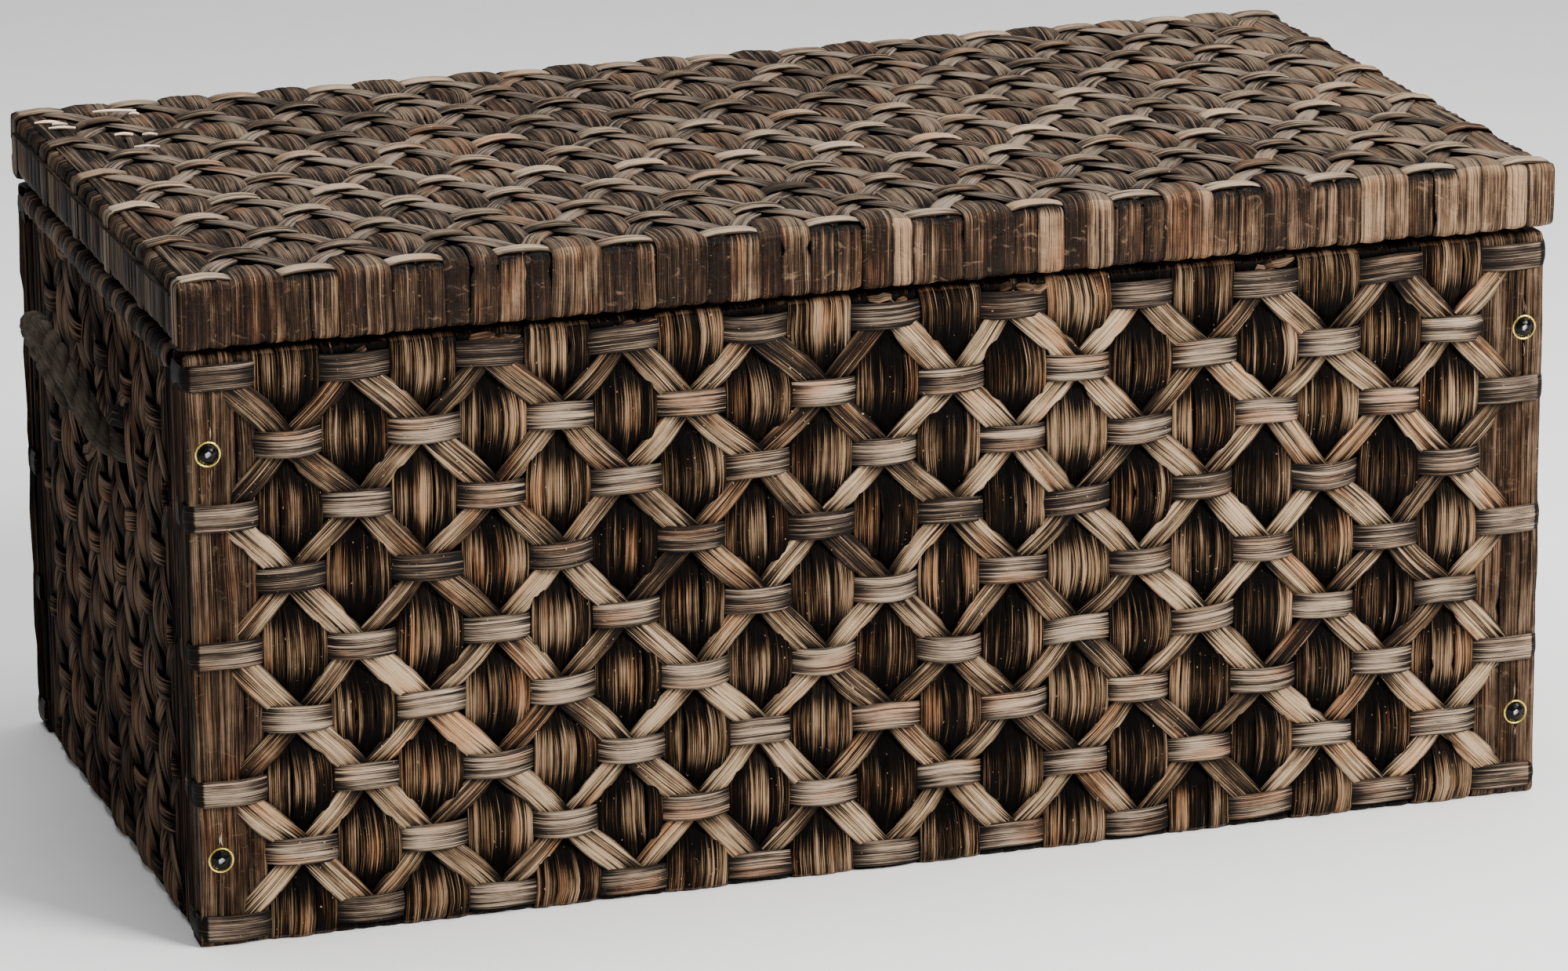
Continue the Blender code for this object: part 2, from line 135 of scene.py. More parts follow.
class Strips:
    """Many leaf strips gathered into one mesh. Each is a closed, thin, slightly crowned solid."""

    def __init__(self):
        self.verts, self.quads, self.caps = [], [], []
        self.grain, self.rise, self.tone, self.brim, self.zones = [], [], [], [], []
        self.count = 0

    def add(self, path, side, normal, half, rise, crown=CROWN, thick=1.1 * MM, pleat=0.25 * MM,
            nicks=0.0, tone=None, zone=0):
        """A strip down a path, with unit vectors across it and out of it, and half widths.

        Rise says how far each point stands out, which the looks paint as light on crowns and shade in
        dips, and tone how pale the strip is, from 0 to 1.
        Pleat is the height of the ridges along it, and nicks the share of narrowed points.
        Points in zone 1 take the mesh's second material.
        """
        path = np.asarray(path, float)
        n = len(path)
        length = along(path)
        half = np.broadcast_to(half, n) * (1 + wobble(length, 0.05, 0.02))
        if nicks:
            half = half * np.where(RNG.random(n) < nicks, RNG.uniform(0.72, 0.9, n), 1.0)
        a = np.linspace(-1, 1, TOP_POINTS)
        ridges = RNG.uniform(-pleat, pleat, TOP_POINTS)
        ridges[[0, -1]] = 0
        drift = np.stack([wobble(length, 0.6, 0.05) for _ in range(TOP_POINTS)], 1)
        top = crown * (1 - np.abs(a) ** 2.4) + ridges * (1 + drift)
        ring_a = np.concatenate([a, (0.9, 0.0, -0.9)])
        height = np.concatenate([top, np.full((n, 3), -thick)], 1)
        ring = len(ring_a)
        across = half[:, None] * ring_a
        points = (
            path[:, None] + side[:, None] * across[..., None] + normal[:, None] * height[..., None]
        )
        grid = self.count + np.arange(n * ring).reshape(n, ring)
        here, there = grid[:-1], grid[1:]
        quads = np.stack([here, there, np.roll(there, -1, 1), np.roll(here, -1, 1)], -1)
        quads, caps = quads.reshape(-1, 4), [grid[0][::-1], grid[-1]]
        if np.dot(np.cross(side[0], normal[0]), path[1] - path[0]) > 0:
            quads, caps = quads[:, ::-1], [grid[0], grid[-1][::-1]]
        self.count += n * ring
        self.verts.append(points.reshape(-1, 3))
        self.quads.append(quads)
        self.caps += caps
        self.zones.append(np.repeat(np.broadcast_to(zone, n)[:-1], ring))
        seed, start = RNG.uniform(0, 40), RNG.uniform(0, 5)
        down = np.broadcast_to((start + length)[:, None], across.shape)
        grain = np.stack([across, down, np.full(across.shape, seed)], -1)
        self.grain.append(grain.reshape(-1, 3))
        self.rise.append(np.repeat(np.broadcast_to(rise, n), ring))
        tone = RNG.random() if tone is None else tone
        tone = np.clip(tone + wobble(length, 0.28, 0.045), 0, 1)
        self.tone.append(np.repeat(tone, ring))
        self.brim.append(np.tile(np.abs(ring_a), n))

    def mesh(self, name):
        faces = np.concatenate(self.quads).tolist() + [cap.tolist() for cap in self.caps]
        mesh = bpy.data.meshes.new(name)
        mesh.from_pydata(np.concatenate(self.verts).tolist(), [], faces)
        store(mesh, grain=self.grain, rise=self.rise, tone=self.tone, brim=self.brim)
        zones = np.concatenate([*self.zones, np.zeros(len(self.caps), int)])
        mesh.materials.append(None)
        mesh.materials.append(None)
        mesh.polygons.foreach_set("material_index", zones.astype(np.int32))
        mesh.shade_smooth()
        mesh.set_sharp_from_angle(angle=math.radians(60))
        return mesh

    def place(self, name, *details):
        place(name, self.mesh(name), *details)


def new_object(name, data):
    obj = bpy.data.objects.new(name, data)
    bpy.context.scene.collection.objects.link(obj)
    return obj


def place(name, mesh, look, body, slot, replaced=(), second=None):
    """Puts a piece in the scene, riding on a CAD body."""
    obj = new_object(name, mesh)
    if len(mesh.materials) == 2:
        mesh.materials[0], mesh.materials[1] = look, second or look
    else:
        mesh.materials.append(look)
    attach(obj, body)
    if replaced:
        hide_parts(*replaced)


# Woven faces ----------
@dataclass
class Face:
    """A woven face: u and v run along it and n points out, from the middle of its lower edge."""

    name: str
    body: str
    origin: tuple
    u: tuple
    v: tuple
    n: tuple
    width: float
    height: float
    pitch_u: float
    pitch_v: float
    columns: int  # the last column's number, which is even
    rows: int
    top_row: float  # distance of the first row from the upper edge
    depth: float  # thickness of the rails behind the face
    wrap: float  # how far the stakes run down the rails' inner side
    relief: float = 4.4 * MM
    sway: float = 2.3 * MM  # how far a crossing strays from its even place
    fade: float = 0.0  # how much darker the stakes are towards the left
    inset: float = 0.0  # how far the flat stake along each side edge stops short of it
    wrap_stand: float = 1.6 * MM  # height of the bands where they go round the side edges
    holes: tuple = ()  # middles of the holes that the strips part round

    def __post_init__(self):
        self.stray = RNG.uniform(-self.sway, self.sway, (2, self.columns + 1, self.rows + 1))

    def swayed(self, u, v):
        """Where a point goes when the crossings stray and the strips part round the holes."""
        u, v = np.broadcast_arrays(np.asarray(u, float), np.asarray(v, float))
        k = np.clip(u / self.pitch_u + self.columns / 2, 0, self.columns - 0.001)
        j = np.clip((self.height - self.top_row - v) / self.pitch_v, 0, self.rows - 1.001)
        k0, j0 = k.astype(int), j.astype(int)
        s, t = ease(k - k0), ease(j - j0)
        fade = np.clip((self.width / 2 - np.abs(u)) / self.pitch_u - 0.7, 0, 1)
        fade = fade * np.clip(np.minimum(v, self.height - v) / (14 * MM), 0, 1)
        moved = []
        for grid, at in zip(self.stray, (u, v)):
            near = grid[k0, j0] * (1 - s) + grid[k0 + 1, j0] * s
            far = grid[k0, j0 + 1] * (1 - s) + grid[k0 + 1, j0 + 1] * s
            moved.append(at + fade * (near * (1 - t) + far * t))
        u, v = moved
        for hole_u, hole_v in self.holes:
            du, dv = u - hole_u, v - hole_v
            r = np.maximum(np.hypot(du, dv), 0.1 * MM)
            parted = HOLE_NEAR + r * (HOLE_FAR - HOLE_NEAR) / HOLE_FAR
            push = np.where(r < HOLE_FAR, parted / r, 1.0)
            u, v = hole_u + du * push, hole_v + dv * push
        return u, v

    def vectors(self, u, v, n):
        """Vectors from their components along the face's axes."""
        pairs = zip((u, v, n), (self.u, self.v, self.n))
        return sum(np.multiply.outer(part, axis) for part, axis in pairs)

    def world(self, u, v, n):
        return self.origin + self.vectors(*self.swayed(u, v), n)

    def turn(self, u, v, n):
        return unit(self.vectors(u, v, n))

    def column_u(self, k):
        return (k - self.columns / 2) * self.pitch_u

    def row_v(self, j):
        return self.height - self.top_row - j * self.pitch_v

    @property
    def border(self):
        """Width of the flat stake along each side edge."""
        return self.width / 2 - self.column_u(self.columns) + self.pitch_u / 2


def soften(wave, power=0.75):
    return np.sign(wave) * np.abs(wave) ** power


def stake_relief(face, k, u_offset, v):
    """Height of a stake's surface, which bulges between crossings and dips at them, and its rise."""
    wave = -((-1) ** k) * np.cos(math.pi * (v - face.row_v(0)) / face.pitch_v)
    x = np.abs(u_offset) / (face.pitch_u / 2)
    dome = np.where(wave > 0, 1 - 0.62 * x**2.2, 1.0)
    low, high = -0.9 * face.relief, 1.05 * face.relief
    lift = soften(wave)
    return np.where(lift > 0, lift * high * dome - 0.9 * MM * x**3, lift * -low), (wave + 1) / 2


def wrap_path(face, r=4.5 * MM):
    """Points (v, n) and normals of the line that a stake follows round the face's two rails."""
    t, h, w = face.depth, face.height, face.wrap
    pieces = []

    def line(p, q, normal):
        count = max(2, int(np.linalg.norm(np.subtract(q, p)) / STEP) + 1)
        for i in range(count):
            f = i / count
            pieces.append((*(np.array(p) * (1 - f) + np.array(q) * f), *normal))

    def bend(centre, start, end):
        for i in range(5):
            angle = math.radians(start + (end - start) * i / 5)
            out = (math.cos(angle), math.sin(angle))
            pieces.append((centre[0] + r * out[0], centre[1] + r * out[1], *out))

    line((w, -t), (r, -t), (0, -1))
    bend((r, -t + r), 270, 180)
    line((0, -t + r), (0, -r), (-1, 0))
    bend((r, -r), 180, 90)
    line((r, 0), (h - r, 0), (0, 1))
    bend((h - r, -r), 90, 0)
    line((h, -r), (h, -t + r), (1, 0))
    bend((h - r, -t + r), 0, -90)
    line((h - r, -t), (h - w, -t), (0, -1))
    return np.array(pieces)


def split(width, least, most):
    """Random widths between two limits that fill a width."""
    count = max(1, round(width / ((least + most) / 2)))
    shares = RNG.uniform(least, most, count)
    return shares * width / shares.sum()


def stakes(face, strips, least, most):
    """The strips that run up the face under everything else, and round its upper and lower rails."""
    line = wrap_path(face)
    for k in range(face.columns + 1):
        centre, width, edge = face.column_u(k), face.pitch_u, k in (0, face.columns)
        if edge:
            width = face.border
            centre += math.copysign((width - face.pitch_u) / 2, centre)
        widths = split(width, least, most)
        starts = centre - width / 2 + np.concatenate([[0], np.cumsum(widths)[:-1]])
        for i, (start, wide) in enumerate(zip(starts, widths)):
            outermost = (k == 0 and i == 0) or (k == face.columns and i == len(widths) - 1)
            inset = math.copysign(face.inset, centre) if outermost else 0.0
            stake_strip(face, strips, line, k, start + wide / 2, wide, edge, inset)


def stake_strip(face, strips, line, k, u, wide, edge, inset):
    """One strip of column k, at u, which follows the line round both rails."""
    v, n, nv, nn = line.T
    offset = u - face.column_u(k)
    shift = wobble(along(line[:, :2]), 0.9 * MM, 0.06)
    if edge:
        lift, rise, slope = (np.full(v.size, x) for x in (0.2 * MM, 0.72, 0.0))
    else:
        lift, rise = stake_relief(face, k, offset + shift, v)
        ahead, _ = stake_relief(face, k, offset + shift + 1 * MM, v)
        slope = (ahead - lift) / (1 * MM)
    outside = np.clip(nn, 0, 1)  # 1 on the face and 0 on the rails' other sides
    inland = np.minimum(v, face.height - v)  # distance from the nearer of the upper and lower edges
    keep = outside * (0.25 + 0.75 * np.clip(inland / (9 * MM), 0, 1))  # share of the relief left
    lift = np.where(lift < 0, lift * np.clip(inland / (26 * MM), 0.18, 1) ** 1.5, lift)
    rise = rise * outside + 0.6 * (1 - outside)
    jitter = RNG.uniform(-0.45, 0.5) * MM
    lift = lift * keep + jitter + 0.3 * MM * (1 - outside)
    held = inset * np.clip(inland / (8 * MM) - 0.5, 0, 1) * outside  # short of the side edge
    gather = np.ones(v.size) if edge else 1 - 0.13 * (1 - rise) * keep  # drawn in at the crossings
    u = face.column_u(k) + offset * gather
    points = face.world(u + shift - held / 2, v + nv * lift, n + nn * lift)
    side = face.turn(np.ones(v.size), np.zeros(v.size), slope * keep)
    normal = face.turn(-slope * keep * nn, nv, nn)
    wide = (wide - np.abs(held)) * gather
    trim = edge and face.name in WALLS  # the walls' flat side stakes look like their edges
    zone = np.where((nn < 0.8) | (inland < 2 * MM) | trim, 1, 0)
    tone = np.clip(RNG.random() + 0.35 * face.fade * (u[0] / face.width * 2 - 0.4), 0, 1)
    strips.add(points, side, normal, wide / 2 * LAP, rise, crown=1.0 * MM, nicks=0.015, tone=tone,
               zone=zone)


def bands(face, strips, half, wrap_sides):
    """The strips along the rows: over each crossing, behind each bulge, and round the side posts."""
    last, edge = face.column_u(face.columns), face.width / 2
    for j in range(face.rows):
        even = j % 2 == 0
        around = even and wrap_sides
        reach = edge - BAND_BEND if even else last + 0.2 * face.pitch_u
        count = int(2 * reach / STEP)
        u = np.linspace(-reach, reach, count)
        wave = (-1) ** (j + face.columns // 2) * np.cos(math.pi * u / face.pitch_u)
        wave = np.where(np.abs(u) > last, 1.0 if around else -1.0, wave)
        lift = soften(wave, 0.6)
        lift = np.where(lift > 0, lift * 1.02, lift * 0.8) * face.relief
        if j in (0, face.rows - 1):
            lift = lift * 0.62  # flatter along the upper and lower edges
        rise = (wave + 1) / 2
        nu, nn = np.zeros(count), np.ones(count)
        n = lift + 0.6 * MM
        if around:
            flat = np.clip((edge - np.abs(u)) / (0.5 * face.pitch_u), 0, 1)
            n = n * flat + (face.wrap_stand + 0.4 * MM) * (1 - flat)
            rows = zip((-1, 1, -1, 1, 1), (u, n, nu, nn, rise), side_turn(face, edge))
            u, n, nu, nn, rise = (
                np.concatenate([mirror * turn[::-1], middle, turn]) for mirror, middle, turn in rows
            )
        v = face.row_v(j) + wobble(along(np.stack([u, n], 1)), 1.2 * MM, 0.05)
        points = face.world(u, v, n)
        none = np.zeros(u.size)
        side, normal = face.turn(none, np.ones(u.size), none), face.turn(nu, none, nn)
        size = half * (1 + 0.1 * (rise - 0.5))
        tone = RNG.uniform(0, 0.25) if j == 0 and face.name in WALLS else RNG.random()
        strips.add(points, side, normal, size, rise, pleat=0.15 * MM, tone=tone)


def side_turn(face, edge, count=4):
    """A band's line round a side post, to its inner side: u, n, its normal's u and n, and rise."""
    stand = face.wrap_stand
    angle = np.radians(np.linspace(75, 0, 5))
    u = edge - BAND_BEND + (BAND_BEND + stand) * np.cos(angle)
    n = -BAND_BEND + (BAND_BEND + stand) * np.sin(angle)
    drop = np.linspace(-BAND_BEND - 4 * MM, -face.depth + 2 * MM, count)
    return (
        np.concatenate([u, np.full(count, edge + stand)]),
        np.concatenate([n, drop]),
        np.concatenate([np.cos(angle), np.ones(count)]),
        np.concatenate([np.sin(angle), np.zeros(count)]),
        np.full(angle.size + count, 0.4),
    )


def diagonals(face, strips, slant, half, base):
    """The strips that run at a slant through the crossings, over the stakes and under the bands."""
    last, rows = face.columns, face.rows - 1
    for start in range(-rows, last + rows + 1):
        nodes = [(start + slant * j, j) for j in range(face.rows)]
        nodes = [(k, j) for k, j in nodes if 0 <= k <= last]
        if start % 2 or len(nodes) < 2:
            continue
        a, b = (np.array([face.column_u(k), face.row_v(j)]) for k, j in (nodes[0], nodes[-1]))
        direction = (b - a) / np.linalg.norm(b - a)
        a, b = a - direction * 5 * MM, b + direction * 5 * MM
        distance = np.linalg.norm(b - a)
        count = max(6, int(distance / STEP))
        t = np.linspace(0, 1, count)
        flat = a + np.multiply.outer(t, b - a)
        rise = 0.5 - 0.5 * np.cos(2 * math.pi * (flat[:, 1] - face.row_v(0)) / face.pitch_v)
        lift = base + 1.5 * MM * rise - 0.4 * MM
        size = half * (0.86 + 0.2 * rise)
        across = np.array([-direction[1], direction[0]])
        flat = flat + across * wobble(t * distance, 1.3 * MM, 0.05)[:, None]
        points = face.world(flat[:, 0], flat[:, 1], lift)
        one, none = np.ones(count), np.zeros(count)
        side, normal = face.turn(across[0] * one, across[1] * one, none), face.turn(none, none, one)
        strips.add(points, side, normal, size, 0.35 + 0.65 * rise, nicks=0.03)


def wind(strips, start, end, out, line, least, most, slope=0.0):
    """Strips wound round a bar, side by side from start to end.

    The line round the bar is a list of (outward, upward) distances and normals, from those points.
    """
    start, end, out = (np.array(x, float) for x in (start, end, out))
    run = end - start
    length = np.linalg.norm(run)
    run = run / length
    up = np.array([0.0, 0.0, 1.0])
    widths = split(length, least, most)
    middles = np.concatenate([[0], np.cumsum(widths)])[:-1] + widths / 2
    o, h, no, nh = line.T
    length_round = along(line[:, :2])
    side = np.broadcast_to(run, (len(line), 3))
    normal = np.multiply.outer(no, out) + np.multiply.outer(nh, up)
    for middle, wide in zip(middles, widths):
        lean = wobble(length_round, 0.7 * MM, 0.03) + slope * (length_round - length_round[-1] / 2)
        jitter = RNG.uniform(-0.2, 0.5) * MM
        path = (
            start + run * middle + np.multiply.outer(lean, run)
            + np.multiply.outer(o + no * jitter, out) + np.multiply.outer(h + nh * jitter, up)
        )
        strips.add(path, side, normal, wide / 2 * LAP, 0.6)


def round_bar(corner_points, radius):
    """The line round a bar through given corners, as distances and normals outward and upward."""
    points = [np.array(c, float) for c in corner_points]
    ways = [unit(b - a) for a, b in zip(points[:-1], points[1:])]
    rows = [(*points[0], -ways[0][1], ways[0][0])]
    for p, before, after in zip(points[1:-1], ways[:-1], ways[1:]):
        start, end = p - before * radius, p + after * radius
        for f in (0.0, 0.5, 1.0):
            d = unit(before * (1 - f) + after * f)
            bend = (1 - f) ** 2 * start + 2 * f * (1 - f) * p + f**2 * end
            rows.append((*bend, -d[1], d[0]))
    rows.append((*points[-1], -ways[-1][1], ways[-1][0]))
    rows = np.array(rows)
    fine = [rows[0]]
    for a, b in zip(rows[:-1], rows[1:]):
        count = max(1, int(np.linalg.norm(b[:2] - a[:2]) / (1.3 * STEP)))
        fine += [a + (b - a) * (i + 1) / count for i in range(count)]
    return np.array(fine)


def upright_strips(strips, face, edge_sign):
    """The flat strips that run up the side face of a wall's post, with one round its front edge."""
    edge, setback = face.width / 2, 2 * MM
    v = np.arange(5 * MM, face.height - 4 * MM, STEP)
    one, none = np.ones(v.size), np.zeros(v.size)
    length = along(np.stack([v, none], 1))
    depth = face.depth / 2 - 1 * MM
    normal = face.turn(edge_sign * one, none, none)
    for middle in (-setback - depth / 2, -setback - 1.5 * depth):
        shift = wobble(length, 0.6 * MM, 0.05)
        points = face.world(edge_sign * (edge - 0.9 * MM) * one, v, middle + shift)
        strips.add(points, face.turn(none, none, one), normal, depth / 2 * 1.1, 0.5, nicks=0.05)
    shift = wobble(length, 0.4 * MM, 0.03)
    points = face.world(edge_sign * (edge - 1.9 * MM + 0.3 * shift), v, -1.5 * MM + shift)
    side, normal = face.turn(-edge_sign * one, none, one), face.turn(edge_sign * one, none, one)
    strips.add(points, side, normal, 3.1 * MM, 0.65, nicks=0.08)


# Rope ----------
def frames_along(path):
    """Two unit vectors across a path at each point, which don't twist about it."""
    tangent = unit(np.gradient(path, axis=0))
    first = np.cross(tangent[0], (0.0, 0.0, 1.0))
    if np.linalg.norm(first) < 0.1:
        first = np.cross(tangent[0], (0.0, 1.0, 0.0))
    a = [unit(first)]
    for t in tangent[1:]:
        a.append(unit(a[-1] - t * np.dot(a[-1], t)))
    a = np.array(a)
    return a, np.cross(tangent, a)


def laid_rope(path, radius, lay):
    """Vertices, faces, grain and rise of a rope of three strands laid round a path."""
    path = np.asarray(path, float)
    a, b = frames_along(path)
    length = along(path)
    strand = radius * 0.70
    shape = (len(path), ROPE_SIDES)
    ring = 2 * math.pi * np.arange(ROPE_SIDES) / ROPE_SIDES
    verts, faces, grain, rise = [], [], [], []
    for s in range(3):
        turn = 2 * math.pi * length / lay + s * 2 * math.pi / 3
        out = np.cos(turn)[:, None] * a + np.sin(turn)[:, None] * b
        centre = path + out * (radius - strand)
        sa, sb = frames_along(centre)
        lumps = 1 + wobble(length, 0.05, 0.02)[:, None, None]
        across = np.cos(ring)[None, :, None] * sa[:, None] + np.sin(ring)[None, :, None] * sb[:, None]
        verts.append((centre[:, None] + across * strand * lumps).reshape(-1, 3))
        grid = (s * len(path) * ROPE_SIDES + np.arange(len(path) * ROPE_SIDES)).reshape(shape)
        here, there = grid[:-1], grid[1:]
        quads = np.stack([here, np.roll(here, -1, 1), np.roll(there, -1, 1), there], -1)
        faces += quads.reshape(-1, 4).tolist() + [grid[0][::-1].tolist(), grid[-1].tolist()]
        rise.append((0.5 + 0.5 * np.einsum("ijk,ik->ij", across, out)).reshape(-1))
        around, down = np.broadcast_to(ring * strand, shape), np.broadcast_to(length[:, None], shape)
        grain.append(np.stack([around, down, np.full(shape, 3.0 * s)], -1).reshape(-1, 3))
    return np.concatenate(verts), faces, np.concatenate(grain), np.concatenate(rise)


def rope_mesh(name, runs):
    """One mesh of several stretches of rope: (path, radius, lay)."""
    verts, faces, grain, rise, count = [], [], [], [], 0
    for run in runs:
        v, f, g, r = laid_rope(*run)
        verts.append(v)
        faces += [[i + count for i in face] for face in f]
        grain.append(g)
        rise.append(r)
        count += len(v)
    mesh = bpy.data.meshes.new(name)
    mesh.from_pydata(np.concatenate(verts).tolist(), [], faces)
    store(mesh, grain=grain, rise=rise)
    mesh.shade_smooth()
    mesh.set_sharp_from_angle(angle=math.radians(70))
    return mesh


# Materials ----------
class Nodes:
    """A short way to write a material's nodes."""

    def __init__(self, name):
        self.material = bpy.data.materials.new(name)
        self.material.use_nodes = True
        self.tree = self.material.node_tree
        self.shader = self.tree.nodes["Principled BSDF"]

    def node(self, kind, inputs=(), **settings):
        made = self.tree.nodes.new(kind)
        for key, value in settings.items():
            setattr(made, key, value)
        for key, value in dict(inputs).items():
            self.feed(made.inputs[key], value)
        return made

    def feed(self, socket, value):
        if isinstance(value, bpy.types.NodeSocket):
            self.tree.links.new(value, socket)
        elif isinstance(value, tuple) and len(value) == 3 and socket.type == "RGBA":
            socket.default_value = (*value, 1)
        else:
            socket.default_value = value

    def attribute(self, name, output="Fac"):
        return self.node("ShaderNodeAttribute", attribute_name=name).outputs[output]

    def place_at(self):
        return self.node("ShaderNodeTexCoord").outputs["Object"]

    def scaled(self, vector, scale):
        return self.node("ShaderNodeMapping", {"Vector": vector, "Scale": scale}).outputs["Vector"]

    def noise(self, vector, scale, detail=3.0, roughness=0.5, distortion=0.0):
        inputs = {"Vector": vector, "Scale": scale, "Detail": detail, "Roughness": roughness,
                  "Distortion": distortion}
        return self.node("ShaderNodeTexNoise", inputs).outputs["Fac"]

    def drawn(self, vector, scale, detail=2.0, roughness=0.6, distortion=0.0):
        """Noise drawn out along an axis, with its own scale for each."""
        return self.noise(self.scaled(vector, scale), 1.0, detail, roughness, distortion)

    def math(self, operation, a, b):
        node = self.node("ShaderNodeMath", operation=operation)
        self.feed(node.inputs[0], a)
        self.feed(node.inputs[1], b)
        return node.outputs[0]

    def plus(self, a, b):
        return self.math("ADD", a, b)

    def minus(self, a, b):
        return self.math("SUBTRACT", a, b)

    def times(self, a, b):
        return self.math("MULTIPLY", a, b)

    def ramp(self, value, stops):
        node = self.node("ShaderNodeValToRGB", {"Fac": value})
        elements = node.color_ramp.elements
        while len(elements) < len(stops):
            elements.new(0.5)
        for element, (position, colour) in zip(elements, stops):
            element.position = position
            element.color = (*colour, 1) if isinstance(colour, tuple) else (colour, colour, colour, 1)
        return node.outputs["Color"]

    def mix(self, amount, a, b, blend="MIX"):
        node = self.node("ShaderNodeMix", data_type="RGBA", blend_type=blend)
        for socket, value in ((0, amount), (6, a), (7, b)):
            self.feed(node.inputs[socket], value)
        return node.outputs[2]

    def bump(self, height, distance, strength):
        inputs = {"Height": height, "Distance": distance, "Strength": strength}
        return self.node("ShaderNodeBump", inputs).outputs["Normal"]

    def finish(self, **inputs):
        for key, value in inputs.items():
            self.feed(self.shader.inputs[key.replace("_", " ")], value)
        return self.material


def leaf(name, dark, mid, light, worn_and_lit, stain_and_shade=0.5, rough=0.55, shine=0.07, vary=0.30, dents=0.0,
         deep=0.0, streaks=1.0):
    """Dried leaf: long fibres, dark stain in the grooves and low places, and paler, worn crowns.

    Vary is how much one strip differs from the next, dents how crumpled it is and how many
    painted glints its crumples carry, deep how much darker it is as a whole, and streaks how
    strongly its fibres show. The grain runs in metres across the strip and along it, with a
    number of its own for each strip.
    """
    m = Nodes(name)
    grain = m.attribute("grain", "Vector")
    rise, tone, brim = m.attribute("rise"), m.attribute("tone"), m.attribute("brim")
    fine = m.drawn(grain, (4600, 60, 1))
    lines = m.drawn(grain, (2100, 15, 1), distortion=0.12)
    broad = m.drawn(grain, (520, 8, 2), 3.0)
    patches = m.drawn(grain, (95, 34, 1), 3.0)
    value = 0.5 - deep
    # the rise term is painted light on raised crowns and painted shade in the dips
    for source, middle, weight in (
        (lines, 0.5, 1.5 * streaks), (fine, 0.5, 0.6), (broad, 0.5, 0.95 * streaks),
        (patches, 0.5, 0.65), (tone, 0.5, vary), (rise, 0.6, 0.30),
    ):
        value = m.plus(value, m.times(m.minus(source, middle), weight))
    # the palest colour stop serves both wear and painted light on crowns and glints
    colour = m.ramp(value, [(0.33, dark), (0.46, mid), (0.58, light), (0.84, worn_and_lit)])

    # reddish places, then the staining with painted shade, and pale chipping with painted glints
    red = m.drawn(grain, (60, 14, 5), roughness=0.5)
    warm = m.times(m.ramp(red, [(0.52, 0.0), (0.66, 1.0)]), 0.62)
    colour = m.mix(warm, colour, m.mix(1.0, colour, (1.0, 0.66, 0.48), "MULTIPLY"))
    # painted shade in low places, where strips dive under others, mixed with random dark staining from
    # the broad and fibre noise
    stain_and_low_shade = m.plus(m.times(m.minus(1.0, rise), 0.85), m.times(m.minus(1.0, broad), 0.9))
    stain_and_low_shade = m.plus(stain_and_low_shade, m.times(m.minus(0.5, lines), 0.9))
    stain_and_low_shade = m.ramp(m.minus(stain_and_low_shade, 1.05 - stain_and_shade), [(0.0, 0.0), (0.3, 1.0)])
    # painted shade along each strip's edges, where it meets its neighbours
    edge_shade = m.ramp(brim, [(0.80, 0.0), (0.97, 1.0)])
    shade = m.math("MAXIMUM", stain_and_low_shade, m.times(edge_shade, 0.85))
    colour = m.mix(m.times(shade, 0.94), colour, tuple(0.15 * c for c in dark))
    # pale chipping on raised places: partly real wear and partly painted glints
    chips_and_glints = m.drawn(grain, (520, 330, 9), roughness=0.5)
    chipped = m.times(m.ramp(chips_and_glints, [(0.72, 0.0), (0.77, 0.7)]), rise)
    colour = m.mix(chipped, colour, tuple(min(1.0, 1.25 * c) for c in worn_and_lit))

    heights = m.plus(m.times(lines, 0.45), m.times(fine, 0.2))
    heights = m.plus(heights, m.times(patches, 0.6))
    if dents:
        dented = m.drawn(grain, (85, 130, 3), 4.0, 0.6, 1.2)
        heights = m.plus(heights, m.times(dented, dents))
        # painted glints: the palest colour on the crumples' crests
        painted_glints = m.times(m.ramp(dented, [(0.60, 0.0), (0.76, 0.8)]), lines)
        colour = m.mix(painted_glints, colour, worn_and_lit)
    roughness = m.ramp(patches, [(0.3, rough - 0.10), (0.7, rough + 0.16)])
    normal = m.bump(heights, 1.2 * MM, 0.9)
    return m.finish(Base_Color=colour, Roughness=roughness, Normal=normal, Specular_IOR_Level=shine)


def rope_look():
    """Dark laid rope: fine yarns across each strand's twist, paler on each strand's outer side and
    darker between the strands, as painted light and shade.
    """
    m = Nodes("dark_rope")
    grain, rise = m.attribute("grain", "Vector"), m.attribute("rise")
    turned = {"Vector": grain, "Rotation": (0, 0, math.radians(-32))}
    slant = m.node("ShaderNodeMapping", turned).outputs["Vector"]
    yarns = m.drawn(slant, (950, 60, 1), 3.0)
    hairs = m.drawn(slant, (2600, 240, 1))
    patches = m.noise(grain, 70.0, 3.0)
    value = m.plus(m.times(yarns, 0.6), m.times(hairs, 0.4))
    value = m.plus(value, m.times(m.minus(patches, 0.5), 0.5))
    # painted light and shade: paler where a strand faces out, darker between the strands
    value = m.plus(value, m.times(m.minus(rise, 0.6), 0.35))
    colour = m.ramp(value, [
        (0.28, (0.005, 0.004, 0.0032)), (0.5, (0.025, 0.020, 0.0155)),
        (0.72, (0.072, 0.058, 0.045)), (0.9, (0.15, 0.122, 0.095)),
    ])
    roughness, normal = m.ramp(patches, [(0.3, 0.72), (0.7, 0.9)]), m.bump(value, 1.0 * MM, 0.9)
    return m.finish(Base_Color=colour, Roughness=roughness, Normal=normal, Specular_IOR_Level=0.03)


